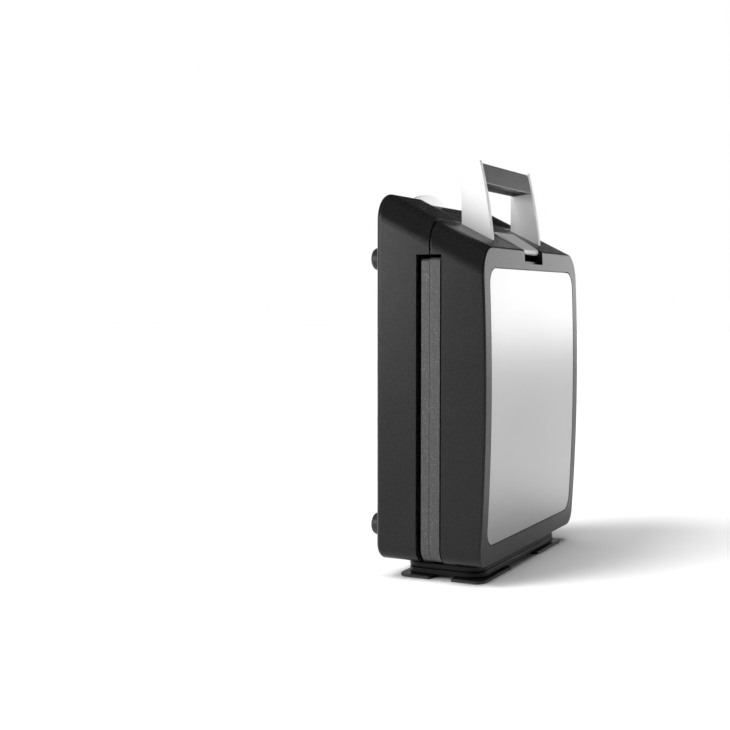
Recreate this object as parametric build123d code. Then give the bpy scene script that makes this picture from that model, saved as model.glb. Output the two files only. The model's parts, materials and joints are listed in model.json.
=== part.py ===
from build123d import *
import math
import os

# Double waffle maker, stood on end for storage with its mains cord wound round the foot.
# Millimetres.  X runs across the width, Z is up, and the lid faces -Y.  Everything is first
# drawn with the plane where the two waffle plates meet at y = 0; put() then moves it to its
# place, with the origin on the floor under the middle of the whole object.

PARTING_Y = -4.5  # where the plates meet, in the finished frame

# Closed body
WIDTH = 250.0
HALF = WIDTH / 2
BODY_BOTTOM = 16.4  # underside of both housings, above the cord wrap
LID_FRONT_TOP = 285.0  # height of the lid's front edge
TOP_SLOPE = 0.51  # rise of the top surface per millimetre towards the back
FRONT_TOP_Y = -47.5
FRONT_BOTTOM_Y = -45.8
FRONT_BOW_Y = -51.0  # the lid's front is crowned: its furthest point
FRONT_BOW_Z = 168.0
BACK_Y = 50.0
TOP_CORNER_R = 22.0
BOTTOM_CORNER_R = 14.0
BACK_EDGE_R = 4.5
WALL = 2.6
SEAM_Y = 0.4  # where lid and base housings meet above the plates
SEAM_GAP = 0.9
SEAM_EDGE_R = 0.9  # the lid's edge along the seam
SLOT_TOP = 278.6  # the plates' edges show at both sides and below, up to here
BASE_RIM_Y = 12.0
LID_RIM_Y = -11.1

# Bezel and front panel
FRONT_WALL = 4.4
FRONT_EDGE_R = 2.0
PANEL_HALF = 110.5
PANEL_BOTTOM = 33.5
PANEL_TOP = 267.0
PANEL_CORNER_R = 14.0
PANEL_THICK = 1.2
PANEL_SINK = 0.2
PANEL_GROOVE = 1.0
NOTCH_HALF = 24.0
NOTCH_BOTTOM = 273.0

# Waffle plates
PLATE_HALF = 122.5
PLATE_BOTTOM = 17.2
BASE_PLATE_FACE = 0.9  # the rims of the plates meet a little behind the parting plane
LID_PLATE_FACE = 0.6
BASE_PLATE_EDGE = 8.2
LID_PLATE_EDGE = 8.8
BASE_PLATE_TOP = 275.4
LID_PLATE_TOP = 276.3
PAN_DEPTH = 13.0
POCKET_DEPTH = 9.0
POCKET_TAPER = 12.0
PEG_HEIGHT = 6.5
PEG_PITCH = 25.5
PEG_SIZE = 18.0
PEG_COLUMNS = 4
PEG_ROWS = 8
FIELD_CENTRE_X = 57.0
FIELD_CENTRE_Z = 147.0
PAN_HALF_X = 112.6
PAN_HALF_Z = 109.0

# Heaters and shields
HEATER_R = 3.6
HEATER_TOP = 247.0
SHIELD_DEPTH = 26.0
SHIELD_THICK = 0.8

# Cord wrap and lid hinge
HINGE_Y = 0.0
HINGE_Z = 10.0
LOBE_HALF_X = 106.5
LOBE_FRONT_Y = -41.5
LOBE_BACK_Y = 37.5
LOBE_GAP_BACK = 8.3  # the four lobes leave the hinge line free between these two
LOBE_GAP_FRONT = -13.0
LOBE_THICK = 2.6
LOBE_CORNER_R = 9.0
LOBE_END_X = 36.0  # front and back lobes run from here to the corners
CORE_HALF_X = 98.0
CORE_FRONT_Y = -35.0
CORE_BACK_Y = 31.0
CORE_CORNER_R = 13.0
CORE_WALL = 2.4
KNUCKLE_R = 5.6
KNUCKLE_X = 70.0
KNUCKLE_LENGTH = 11.0
EAR_LENGTH = 6.0
PIN_R = 2.0
PIN_HOLE = 0.01
RUNNING_FIT = 0.05
SIDE_PLAY = 0.3
SLEEVE_R = 3.0
BASE_WRAP_SCREWS = [(x, 20.0) for x in (-80, -44, 44, 80)]
LID_WRAP_SCREWS = [(x, -24.0) for x in (-80, -44, 44, 80)]

# Mains cord: a twin flat flex, two turns side by side round the wrap
FLEX_WIDTH = 5.2
GLAND_END_X = -6.0
GLAND_LENGTH = 34.0
FLEX_THICK = 2.7
WIND_CLEARANCE = 0.25
WIND_BOTTOM = 3.0
WIND_TOP = 13.4
CORD_R = 2.6
FLEX_TAIL = [
    (103.8, -22.0, 5.7),
    (104.1, -11.5, 5.6),
    (107.4, -1.0, 5.0),
    (113.8, 8.0, 3.9),
    (118.8, 17.5, 2.9),
    (120.4, 28.0, 2.6),
    (120.4, 38.0, 2.6),
]

# Handle
HANDLE_OUTER = 64.0
HANDLE_THICK = 5.4
GRIP_WALL = 2.4

# Latch
LEVER_HALF = 23.0
LEVER_THICK = 1.6
LATCH_Y = -20.0
LATCH_Z = 292.5
LATCH_PIN_R = 1.5
ROLL_R = 3.0

# Feet
FOOT_X = 107.0
FOOT_Z = (45.0, 276.0)
FOOT_R = 9.8
FOOT_BACK_Y = 60.0

# Scoop in the base's top, and the small parts beside it
SCOOP_DEPTH = 4.8
SCOOP_LEFT = (-50.0, -16.0)
SCOOP_RIGHT = (60.0, 94.0)
LIP_X = -12.0
LIP_ARC_R = 110.0
LIP_HALF = 32.0


def top_z(y):
    """Height of the sloping top surface at depth y."""
    return LID_FRONT_TOP + TOP_SLOPE * (y - FRONT_TOP_Y)


SLOPE_ANGLE = math.degrees(math.atan(TOP_SLOPE))
SLOPE_COS = math.cos(math.atan(TOP_SLOPE))

parts = {}


def put(name, *solids):
    """Place a node's solids in the finished frame."""
    placed = [Pos(0, PARTING_Y, 0) * solid for shape in solids for solid in shape.solids()]
    parts[name] = placed[0] if len(placed) == 1 else Compound(placed)


def block(x0, x1, y0, y1, z0, z1):
    """A box between two corners."""
    centre = Pos((x0 + x1) / 2, (y0 + y1) / 2, (z0 + z1) / 2)
    return centre * Box(x1 - x0, y1 - y0, z1 - z0)


def rod_x(x0, x1, y, z, radius):
    """A round bar along X."""
    return Pos((x0 + x1) / 2, y, z) * Rot(0, 90, 0) * Cylinder(radius, x1 - x0)


def rod_y(x, y0, y1, z, radius):
    """A round bar along Y."""
    return Pos(x, (y0 + y1) / 2, z) * Rot(90, 0, 0) * Cylinder(radius, y1 - y0)


def side_profile(points, x0, x1):
    """Extrude a closed outline of (y, z) corners from x0 to x1."""
    outline = Polyline(*[(x0, y, z) for y, z in points], close=True)
    return extrude(make_face(outline), amount=x1 - x0, dir=(1, 0, 0))


def plan_rect(x_half, z0, z1, radius, y0, y1):
    """A slab across the front: rounded rectangle in X and Z, from y0 to y1."""
    face = Plane.XZ * Pos(0, (z0 + z1) / 2) * RectangleRounded(2 * x_half, z1 - z0, radius)
    return Pos(0, y1, 0) * extrude(face, amount=y1 - y0)


def floor_rect(x_half, y0, y1, radius, z0, z1):
    """A slab lying flat: rounded rectangle in X and Y, from z0 to z1."""
    face = Pos(0, (y0 + y1) / 2, z0) * RectangleRounded(2 * x_half, y1 - y0, radius)
    return extrude(face, amount=z1 - z0)


def crowned_block(x_half, inset, y_back):
    """Everything behind the crowned front surface moved back by inset, as far as y_back."""
    low = (0, FRONT_BOTTOM_Y + inset, BODY_BOTTOM)
    high = (0, FRONT_TOP_Y + inset, LID_FRONT_TOP)
    arc = ThreePointArc(low, (0, FRONT_BOW_Y + inset, FRONT_BOW_Z), high)
    rest = Polyline(high, (0, high[1], 420), (0, y_back, 420), (0, y_back, -10), (0, low[1], -10), low)
    face = make_face([arc, rest])
    return Pos(-x_half, 0, 0) * extrude(face, amount=2 * x_half, dir=(1, 0, 0))


def closed_body(inset):
    """The closed waffle maker's outer form, moved in by inset on every side."""
    half = HALF - inset
    bottom = BODY_BOTTOM + inset
    back = BACK_Y - inset
    drop = inset / SLOPE_COS
    front = FRONT_BOW_Y - 2
    outline = [
        (front, bottom),
        (back, bottom),
        (back, top_z(back) - drop),
        (front, top_z(front) - drop),
    ]
    body = side_profile(outline, -half, half)
    lengthwise = [e for e in body.edges() if abs((e % 0.5).Y) > 0.5]
    high = [e for e in lengthwise if e.center().Z > 100]
    body = fillet(high, TOP_CORNER_R - inset)
    low = [e for e in body.edges() if abs((e % 0.5).Y) > 0.9 and e.center().Z < bottom + 0.1]
    body = fillet(low, BOTTOM_CORNER_R - inset)
    body = fillet(body.faces().sort_by(Axis.Y)[-1].edges(), BACK_EDGE_R - inset)
    body &= crowned_block(half + 1, inset, BACK_Y + 5)
    front_edges = body.faces().sort_by(Axis.Y)[0].edges()
    return fillet(front_edges, FRONT_EDGE_R)


def scoop_tool():
    """The shallow recess across the top of the base, as a cutter that follows the slope."""
    left_0, left_1 = SCOOP_LEFT
    right_0, right_1 = SCOOP_RIGHT
    ease = 0.42 * (left_1 - left_0)
    falling = Bezier((left_0, 0), (left_0 + ease, 0), (left_1 - ease, -SCOOP_DEPTH), (left_1, -SCOOP_DEPTH))
    bottom = Line((left_1, -SCOOP_DEPTH), (right_0, -SCOOP_DEPTH))
    rising = Bezier((right_0, -SCOOP_DEPTH), (right_0 + ease, -SCOOP_DEPTH), (right_1 - ease, 0), (right_1, 0))
    roof = Polyline((right_1, 0), (right_1, 12), (left_0, 12), (left_0, 0))
    face = make_face([falling, bottom, rising, roof])
    reach = BACK_Y + 20
    slope_plane = Plane(
        origin=(0, SEAM_Y + 5, top_z(SEAM_Y + 5)),
        x_dir=(1, 0, 0),
        z_dir=(0, -SLOPE_COS, -SLOPE_COS * TOP_SLOPE),
    )
    return extrude(slope_plane * face, amount=-reach)


OUTER = closed_body(0)
INNER = closed_body(WALL)


# ---------------------------------------------------------------- housings


def between(y0, y1, z0, z1):
    """A block right across the body, between two depths given in either order."""
    return block(-HALF - 5, HALF + 5, min(y0, y1), max(y0, y1), z0, z1)


def closing_walls(rim_y, face_y, side):
    """The walls that close a housing round its plate: behind the rim, over it, and at the seam."""
    deep = rim_y + side * WALL
    walls = between(rim_y, deep, 0, SLOT_TOP + WALL)
    walls -= plan_rect(
        PAN_HALF_X + 0.8,
        FIELD_CENTRE_Z - PAN_HALF_Z - 0.8,
        FIELD_CENTRE_Z + PAN_HALF_Z + 0.8,
        8.8,
        min(rim_y, deep) - 1,
        max(rim_y, deep) + 1,
    )
    walls += between(face_y, deep, SLOT_TOP, SLOT_TOP + WALL)
    walls += between(face_y, face_y + side * WALL, SLOT_TOP, 400)
    return walls & OUTER


COVER_HALF = 94.0
COVER_BOTTOM = 35.0
COVER_TOP = 305.0
COVER_THICK = 2.2
SCREW_R = 2.0
COVER_SCREWS = [(x, z) for x in (-88, 88) for z in (46, 170, 294)]
PLATE_POSTS = [(x, z) for x in (-60, 60) for z in (75, 219)]
FOOT_PLACES = [(x, z) for x in (-FOOT_X, FOOT_X) for z in FOOT_Z]


def make_base_shell():
    shell = OUTER - INNER - between(-80, SEAM_Y, 0, 400) - between(-80, BASE_RIM_Y, 0, SLOT_TOP)
    shell += closing_walls(BASE_RIM_Y, SEAM_Y, 1)
    scoop = scoop_tool()
    thick = Pos(0, 0, -WALL / SLOPE_COS) * scoop
    shell += (thick - scoop) & block(-100, 100, SEAM_Y, BACK_Y - 1, 290, 340) & OUTER
    shell -= scoop
    opening = plan_rect(COVER_HALF - 4, COVER_BOTTOM + 4, COVER_TOP - 4, 8, BACK_Y - 10, BACK_Y + 2)
    rebate = plan_rect(COVER_HALF, COVER_BOTTOM, COVER_TOP, 12, BACK_Y - COVER_THICK, BACK_Y + 2)
    ledge = plan_rect(COVER_HALF + 2, COVER_BOTTOM - 2, COVER_TOP + 2, 13, BACK_Y - 5, BACK_Y - WALL)
    shell = shell - opening + (ledge - opening) - rebate
    for x, z in COVER_SCREWS:
        shell += rod_y(x, BACK_Y - 14, BACK_Y - COVER_THICK, z, 4.4)
        shell -= rod_y(x, BACK_Y - 12, BACK_Y + 1, z, 1.5)
    for x, z in FOOT_PLACES:
        shell += rod_y(x, BACK_Y - 9, BACK_Y - 1, z, 4.2)
        shell -= rod_y(x, BACK_Y - 8, BACK_Y + 1, z, 1.7)
    for x, y in BASE_WRAP_SCREWS:
        shell -= Pos(x, y, BODY_BOTTOM) * Cylinder(SCREW_R - 0.15, 20)
    shell -= LENS_CUT
    shell -= block(-CATCH_HALF, CATCH_HALF, SEAM_Y - 1, SEAM_Y + 1.6, CATCH_BOTTOM, CATCH_TOP)
    shell -= block(-9, 9, SEAM_Y - 1, SEAM_Y + 4, CATCH_BOTTOM + 2, CATCH_TOP - 2)
    return shell.solids().sort_by(SortBy.VOLUME)[-1]


LENS_HALF_WIDTH = 1.3
LENS_FROM_X = -46.0
LENS_TO_X = -22.0
LENS_Y = 43.0


def lens_prism(grow):
    """The indicator's narrow window, standing square to the sloping top."""
    half = LENS_HALF_WIDTH + grow
    z = top_z(LENS_Y)
    length = LENS_TO_X - LENS_FROM_X + 2 * grow
    body = Box(length, 2 * half, 14)
    body = fillet(body.edges().filter_by(Axis.Z), half - 0.05)
    return Pos((LENS_FROM_X + LENS_TO_X) / 2, LENS_Y, z) * Rot(SLOPE_ANGLE, 0, 0) * body


LENS_CUT = lens_prism(0.1)
CATCH_HALF = 14.0
CATCH_BOTTOM = 286.0
CATCH_TOP = 300.0


def make_lens():
    """The light window, flush with the falling wall of the scoop."""
    lens = lens_prism(0)
    proud = Pos(0, 0, 0.25)
    upper = (OUTER - scoop_tool()) + proud * ((OUTER - scoop_tool()) & lens)
    lower = Pos(0, 0, -WALL / SLOPE_COS - 1.5) * (OUTER - scoop_tool())
    return (lens & upper) - lower


def make_lid_shell():
    face_y = SEAM_Y - SEAM_GAP
    outside = OUTER - between(face_y, 90, 0, 400)
    outside = fillet(outside.faces().sort_by(Axis.Y)[-1].edges(), SEAM_EDGE_R)
    shell = outside - LID_CAVITY - between(LID_RIM_Y, 80, 0, SLOT_TOP)
    shell += closing_walls(LID_RIM_Y, face_y, -1) & outside
    groove = plan_rect(
        PANEL_HALF + PANEL_GROOVE,
        PANEL_BOTTOM - PANEL_GROOVE,
        PANEL_TOP + PANEL_GROOVE,
        PANEL_CORNER_R + PANEL_GROOVE,
        -60,
        -30,
    )
    shell -= groove - crowned_block(HALF, PANEL_SINK + PANEL_THICK, 60)
    shell -= block(-NOTCH_HALF, NOTCH_HALF, -60, LATCH_Y + 2.4, NOTCH_BOTTOM, 320)
    shell -= block(-HOOK_HALF - 0.8, HOOK_HALF + 0.8, -4, 2, HOOK_LOW - 1, HOOK_LOW + 8.2)
    for side in (-1, 1):
        middle = side * (HANDLE_OUTER - HANDLE_THICK / 2)
        for y, z in HANDLE_SCREWS:
            shell += Pos(middle, y, z - 3.2) * Cylinder(4, 2.4)
            shell -= Pos(middle, y, z) * Cylinder(1.35, 16)
    for x, y in LID_WRAP_SCREWS:
        shell -= Pos(x, y, BODY_BOTTOM) * Cylinder(SCREW_R - 0.15, 20)
    return shell.solids().sort_by(SortBy.VOLUME)[-1]


LID_CAVITY = INNER & crowned_block(HALF, FRONT_WALL, 90)
HOOK_HALF = 8.0
HOOK_LOW = 289.4


def make_latch_well():
    """The moulded well that holds the latch, closed below and behind, open to the notch."""
    half = NOTCH_HALF + 1.9
    low = NOTCH_BOTTOM - 1.8
    back = LATCH_Y + 5.3
    outline = [(-46, low), (-26, low + 5), (back, low + 16), (back, 330), (-46, 330)]
    hollow = [(-60, low + 1.8), (-27, low + 6.8), (back - 1.6, low + 17.6), (back - 1.6, 335), (-60, 335)]
    well = side_profile(outline, -half, half) - side_profile(hollow, -half + 1.5, half - 1.5)
    well = well & LID_CAVITY
    well -= block(-HOOK_HALF - 1.2, HOOK_HALF + 1.2, back - 3, back + 3, HOOK_LOW - 0.8, 310)
    well -= rod_x(-half - 1, half + 1, LATCH_Y, LATCH_Z, LATCH_PIN_R + PIN_HOLE)
    return well.solids().sort_by(SortBy.VOLUME)[-1]


def make_panel():
    sheet = plan_rect(PANEL_HALF, PANEL_BOTTOM, PANEL_TOP, PANEL_CORNER_R, -60, -30)
    behind = crowned_block(HALF, PANEL_SINK + PANEL_THICK - 0.02, 60)
    return (sheet & crowned_block(HALF, PANEL_SINK, 60)) - behind


# ---------------------------------------------------------------- waffle plates


def plate_outline(top, y0, y1):
    """A plate's slab: square-cornered above, rounded like the housing below."""
    face = Plane.XZ * Pos(0, (PLATE_BOTTOM + top) / 2) * Rectangle(2 * PLATE_HALF, top - PLATE_BOTTOM)
    slab = Pos(0, y1, 0) * extrude(face, amount=y1 - y0)
    uprights = slab.edges().filter_by(Axis.Y)
    low = [e for e in uprights if e.center().Z < 100]
    high = [e for e in uprights if e.center().Z > 100]
    slab = fillet(low, BOTTOM_CORNER_R - 1)
    high = [e for e in slab.edges().filter_by(Axis.Y) if e.center().Z > top - 1]
    return fillet(high, 3.0)


def make_plate(top, face, edge, side):
    """A waffle plate, drawn facing -Y for the base (side 1) and mirrored for the lid (side -1).

    The casting is given as simple solids that meet face to face: two pegged floors, and the
    bars of the rim round them.
    """
    field_half_x = PEG_COLUMNS * PEG_PITCH / 2 + 1.5
    field_half_z = PEG_ROWS * PEG_PITCH / 2 + 1.5
    plate = plate_outline(top, face, edge)
    low, high = FIELD_CENTRE_Z - PAN_HALF_Z, FIELD_CENTRE_Z + PAN_HALF_Z
    pan = block(-PAN_HALF_X, PAN_HALF_X, face, PAN_DEPTH, low, high)
    plate += fillet(pan.edges().filter_by(Axis.Y), 8)
    facing = Plane(origin=(0, face, 0), x_dir=(1, 0, 0), z_dir=(0, -1, 0))
    fields = Sketch()
    pegs = Sketch()
    for x in (-FIELD_CENTRE_X, FIELD_CENTRE_X):
        fields += Pos(x, FIELD_CENTRE_Z) * RectangleRounded(2 * field_half_x, 2 * field_half_z, 4.5)
        grid = GridLocations(PEG_PITCH, PEG_PITCH, PEG_COLUMNS, PEG_ROWS)
        pegs += [Pos(x, FIELD_CENTRE_Z) * spot * Rectangle(PEG_SIZE, PEG_SIZE) for spot in grid]
    plate -= extrude(facing * fields, amount=-POCKET_DEPTH, taper=POCKET_TAPER)
    at_floor = Plane(origin=(0, face + POCKET_DEPTH, 0), x_dir=(1, 0, 0), z_dir=(0, -1, 0))
    plate += extrude(at_floor * pegs, amount=PEG_HEIGHT, taper=16)
    for x, z in PLATE_POSTS:
        plate += rod_y(x, PAN_DEPTH - 1, SHIELD_DEPTH - 1, z, 5)
        plate -= rod_y(x, PAN_DEPTH + 1, SHIELD_DEPTH + 1, z, SCREW_R - 0.3)
    slant = POCKET_DEPTH * math.tan(math.radians(POCKET_TAPER))
    inner_x = FIELD_CENTRE_X - field_half_x + slant
    outer_x = FIELD_CENTRE_X + field_half_x - slant
    low, high = FIELD_CENTRE_Z - field_half_z + 4.7, FIELD_CENTRE_Z + field_half_z - 4.7
    pieces = [
        block(-HALF, HALF, -5, 40, 0, low),
        block(-HALF, HALF, -5, 40, high, 300),
        block(-HALF, -outer_x, -5, 40, low, high),
        block(-outer_x, -inner_x, -5, 40, low, high),
        block(-inner_x, inner_x, -5, 40, low, high),
        block(inner_x, outer_x, -5, 40, low, high),
        block(outer_x, HALF, -5, 40, low, high),
    ]
    castings = [solid for piece in pieces for solid in (plate & piece).solids()]
    if side < 0:
        castings = [mirror(casting, about=Plane.XZ) for casting in castings]
    return castings


# ---------------------------------------------------------------- heaters and shields


def make_heater(side):
    """A sheathed element laid in a double U on the back of its plate."""
    y = side * (PAN_DEPTH + HEATER_R + 0.1)
    run = [
        (-92, y, HEATER_TOP),
        (-92, y, 49),
        (-30, y, 49),
        (-30, y, 155),
        (30, y, 155),
        (30, y, 49),
        (92, y, 49),
        (92, y, HEATER_TOP),
    ]
    path = FilletPolyline(*run, radius=18)
    start = Plane(origin=run[0], z_dir=(0, 0, -1))
    return sweep(start * Circle(HEATER_R), path=path)


def make_heater_ends(side):
    """Ceramic ends with a terminal pin, on both ends of the element."""
    y = side * (PAN_DEPTH + HEATER_R + 0.1)
    ends = []
    for x in (-92, 92):
        bead = Pos(x, y, HEATER_TOP + 4) * Cylinder(HEATER_R, 8)
        pin = Pos(x, y, HEATER_TOP + 11) * Cylinder(1.2, 6)
        ends.append(bead + pin)
    return ends


def make_shield(side):
    """A pressed heat shield, shallow pan with a turned rim, behind the heater."""
    y0, y1 = SHIELD_DEPTH - 1, SHIELD_DEPTH - 1 + SHIELD_THICK
    pan = plan_rect(108, 37, 267, 10, y0 - 9, y1)
    pan -= plan_rect(108 - SHIELD_THICK, 37 + SHIELD_THICK, 267 - SHIELD_THICK, 9.2, y0 - 20, y0)
    for x in (-96, 96):
        pan -= block(x - 7, x + 7, 0, y0 + 5, 262, 270)
    for x, z in PLATE_POSTS:
        pan -= rod_y(x, 0, 40, z, SCREW_R + 0.2)
    if side < 0:
        pan = mirror(pan, about=Plane.XZ)
    return pan


def make_plate_screws(side):
    """Pan-head screws that hold the shield to the plate's posts."""
    screws = []
    for x, z in PLATE_POSTS:
        head_y = SHIELD_DEPTH - 1 + SHIELD_THICK
        screw = rod_y(x, head_y, head_y + 2.2, z, 3.6) + rod_y(x, head_y - 10, head_y, z, SCREW_R - 0.35)
        if side < 0:
            screw = mirror(screw, about=Plane.XZ)
        screws.append(screw)
    return screws


# ---------------------------------------------------------------- cord wrap and hinge


def wrap_ring(outer_half_x, y0, y1, radius, wall, z0, z1):
    """An upright wall in the shape of a rounded rectangle."""
    outer = floor_rect(outer_half_x, y0, y1, radius, z0, z1)
    return outer - floor_rect(outer_half_x - wall, y0 + wall, y1 - wall, radius - wall, z0 - 1, z1 + 1)


def lobes():
    """The foot's four flat corner lobes, which keep the cord from slipping off."""
    plate = floor_rect(LOBE_HALF_X, LOBE_FRONT_Y, LOBE_BACK_Y, LOBE_CORNER_R, 0, LOBE_THICK)
    plate = chamfer(plate.edges().group_by(Axis.Z)[-1], 0.5)
    plate -= floor_rect(CORE_HALF_X - 5, CORE_FRONT_Y + 5, CORE_BACK_Y - 5, 8, -1, 5)
    plate -= block(-LOBE_END_X, LOBE_END_X, -60, CORE_FRONT_Y + 0.6, -1, 5)
    plate -= block(-LOBE_END_X, LOBE_END_X, CORE_BACK_Y - 0.6, 40, -1, 5)
    return plate


def knuckle_places():
    """Each hinge: the middle knuckle on the lid, an ear of the base on both sides of it."""
    for centre in (-KNUCKLE_X, KNUCKLE_X):
        ear_inner = KNUCKLE_LENGTH / 2 + SIDE_PLAY
        yield centre, [
            (centre - ear_inner - EAR_LENGTH, centre - ear_inner),
            (centre + ear_inner, centre + ear_inner + EAR_LENGTH),
        ]


def make_base_wrap():
    z1 = BODY_BOTTOM - 0.1
    wrap = lobes() + wrap_ring(CORE_HALF_X, CORE_FRONT_Y, CORE_BACK_Y, CORE_CORNER_R, CORE_WALL, 0.6, z1)
    wrap += floor_rect(CORE_HALF_X - 1, CORE_FRONT_Y + 1, CORE_BACK_Y - 1, 11, z1 - 2.2, z1)
    wrap &= block(-200, 200, LOBE_GAP_BACK, 60, -5, 40)
    for _, ears in knuckle_places():
        for x0, x1 in ears:
            wrap += rod_x(x0, x1, HINGE_Y, HINGE_Z, KNUCKLE_R)
            wrap += block(x0, x1, HINGE_Y, LOBE_GAP_BACK + 6, HINGE_Z - KNUCKLE_R, z1)
            wrap -= rod_x(x0 - 1, x1 + 1, HINGE_Y, HINGE_Z, PIN_R + PIN_HOLE)
    wrap += rod_x(-12, -5, HINGE_Y, HINGE_Z, KNUCKLE_R)
    wrap += block(-12, -5, HINGE_Y, LOBE_GAP_BACK + 6, HINGE_Z - KNUCKLE_R, z1)
    wrap -= rod_x(-13, -4, HINGE_Y, HINGE_Z, SLEEVE_R + PIN_HOLE)
    wrap -= block(GLAND_END_X - 20, GLAND_END_X + 32, CORE_BACK_Y - 5, CORE_BACK_Y + 1, 6.6, 15)
    collar_x = GLAND_END_X + GLAND_LENGTH
    wrap -= block(collar_x - 26, collar_x + 8, CORE_BACK_Y - 12, CORE_BACK_Y - CORE_WALL, 12, 15.05)
    for x, y in BASE_WRAP_SCREWS:
        wrap -= Pos(x, y, z1) * Cylinder(SCREW_R + 0.2, 8)
    return wrap.solids().sort_by(SortBy.VOLUME)[-1]


def make_lid_wrap():
    z1 = BODY_BOTTOM - 0.1
    wrap = lobes() + wrap_ring(CORE_HALF_X, CORE_FRONT_Y, CORE_BACK_Y, CORE_CORNER_R, CORE_WALL, 0.6, z1)
    wrap += floor_rect(CORE_HALF_X - 1, CORE_FRONT_Y + 1, CORE_BACK_Y - 1, 11, z1 - 2.2, z1)
    wrap &= block(-200, 200, -80, LOBE_GAP_FRONT, -5, 40)
    for centre, _ in knuckle_places():
        x0, x1 = centre - KNUCKLE_LENGTH / 2, centre + KNUCKLE_LENGTH / 2
        wrap += rod_x(x0, x1, HINGE_Y, HINGE_Z, KNUCKLE_R)
        wrap += block(x0, x1, LOBE_GAP_FRONT - 6, HINGE_Y, HINGE_Z - KNUCKLE_R + 1, z1 - 0.4)
        wrap -= rod_x(x0 - 1, x1 + 1, HINGE_Y, HINGE_Z, PIN_R + RUNNING_FIT)
    wrap += rod_x(5, 12, HINGE_Y, HINGE_Z, KNUCKLE_R)
    wrap += block(5, 12, LOBE_GAP_FRONT - 6, HINGE_Y, HINGE_Z - KNUCKLE_R + 1, z1 - 0.4)
    wrap -= rod_x(4, 13, HINGE_Y, HINGE_Z, SLEEVE_R + RUNNING_FIT)
    for x, y in LID_WRAP_SCREWS:
        wrap -= Pos(x, y, z1) * Cylinder(SCREW_R + 0.2, 8)
    return wrap.solids().sort_by(SortBy.VOLUME)[-1]




def make_wrap_screws(places):
    """Countersunk screws up through the wrap into the housing's floor."""
    screws = []
    for x, y in places:
        head = Pos(x, y, BODY_BOTTOM - 3.3) * Cylinder(3.6, 2)
        shank = Pos(x, y, BODY_BOTTOM + 1.7) * Cylinder(SCREW_R - 0.2, 8)
        screws.append(head + shank)
    return screws


def make_hinge_pins():
    """Two steel pins, one through each hinge."""
    half = KNUCKLE_LENGTH / 2 + SIDE_PLAY + EAR_LENGTH
    return [rod_x(x - half, x + half, HINGE_Y, HINGE_Z, PIN_R) for x in (-KNUCKLE_X, KNUCKLE_X)]


def make_hinge_sleeve():
    """The woven sleeve that carries the lid's wires across, along the hinge's own line."""
    tube = rod_x(-16, 16, HINGE_Y, HINGE_Z, SLEEVE_R)
    return tube - rod_x(-17, 17, HINGE_Y, HINGE_Z, SLEEVE_R - 0.8)


# ---------------------------------------------------------------- mains cord


def make_winding():
    """The two turns of flex as one closed ring round the wrap."""
    inner_x = CORE_HALF_X + WIND_CLEARANCE
    inner_front = CORE_FRONT_Y - WIND_CLEARANCE
    inner_back = CORE_BACK_Y + WIND_CLEARANCE
    inner_r = CORE_CORNER_R + WIND_CLEARANCE
    outer = floor_rect(
        inner_x + FLEX_THICK,
        inner_front - FLEX_THICK,
        inner_back + FLEX_THICK,
        inner_r + FLEX_THICK,
        WIND_BOTTOM,
        WIND_TOP,
    )
    return outer - floor_rect(inner_x, inner_front, inner_back, inner_r, 0, 20)


def corner_radii(points):
    """Each bend of a cord as wide as its two runs allow."""
    radii = []
    for before, at, after in zip(points, points[1:], points[2:]):
        into, out = Vector(*at) - Vector(*before), Vector(*after) - Vector(*at)
        turn = math.radians(into.get_angle(out))
        radii.append(0.45 * min(into.length, out.length) / math.tan(turn / 2))
    return radii


def make_tail():
    """The end of the cord, from the winding down to the floor and along to the plug."""
    radii = corner_radii(FLEX_TAIL)
    path = FilletPolyline(*FLEX_TAIL, radius=radii)
    start = Plane(origin=FLEX_TAIL[0], z_dir=(path % 0))
    tube = sweep(start * Circle(CORD_R), path=path)
    print("tail radii", [round(r, 1) for r in radii], "length", round(path.length, 1))
    print("tail volume", round(tube.volume, 1), "section x length", round(math.pi * CORD_R**2 * path.length, 1))
    return tube


PLUG_X, PLUG_Y = FLEX_TAIL[-1][:2]
PLUG_HALF_X = 13.0
PLUG_HALF_Z = 6.5
PLUG_BODY = 31.0
PLUG_SLEEVE = 15.0


def make_plug():
    """A flat two-pin plug lying on the floor, with its tapering cord sleeve."""
    waist_y = PLUG_Y + PLUG_SLEEVE
    broad = RectangleRounded(2 * PLUG_HALF_X, 2 * PLUG_HALF_Z, 6.2)
    waist = RectangleRounded(17, 10.6, 5.0)
    body = loft([across(PLUG_X, waist_y, PLUG_HALF_Z) * waist, across(PLUG_X, waist_y + 10, PLUG_HALF_Z) * broad])
    body += extrude(across(PLUG_X, waist_y + 10, PLUG_HALF_Z) * broad, amount=-(PLUG_BODY - 10))
    body = chamfer(body.faces().sort_by(Axis.Y)[-1].edges(), 0.8)
    thin = across(PLUG_X, PLUG_Y, CORD_R + 0.5) * Circle(CORD_R + 0.4)
    thick = across(PLUG_X, waist_y, PLUG_HALF_Z) * Circle(4.4)
    return body + loft([thin, thick])


def across(x, y, z):
    """An upright plane square to the depth, for sections of what lies along Y."""
    return Plane(origin=(x, y, z), x_dir=(1, 0, 0), z_dir=(0, -1, 0))


def make_plug_pins():
    """Two round pins, insulated for their first half."""
    end_y = PLUG_Y + PLUG_SLEEVE + PLUG_BODY
    pins = []
    for x in (PLUG_X - 9.4, PLUG_X + 9.4):
        pin = rod_y(x, end_y, end_y + 9, PLUG_HALF_Z, 1.8) + rod_y(x, end_y + 9, end_y + 15.5, PLUG_HALF_Z, 2.0)
        pins.append(pin + Pos(x, end_y + 15.5, PLUG_HALF_Z) * Sphere(2.0))
    return pins


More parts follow.
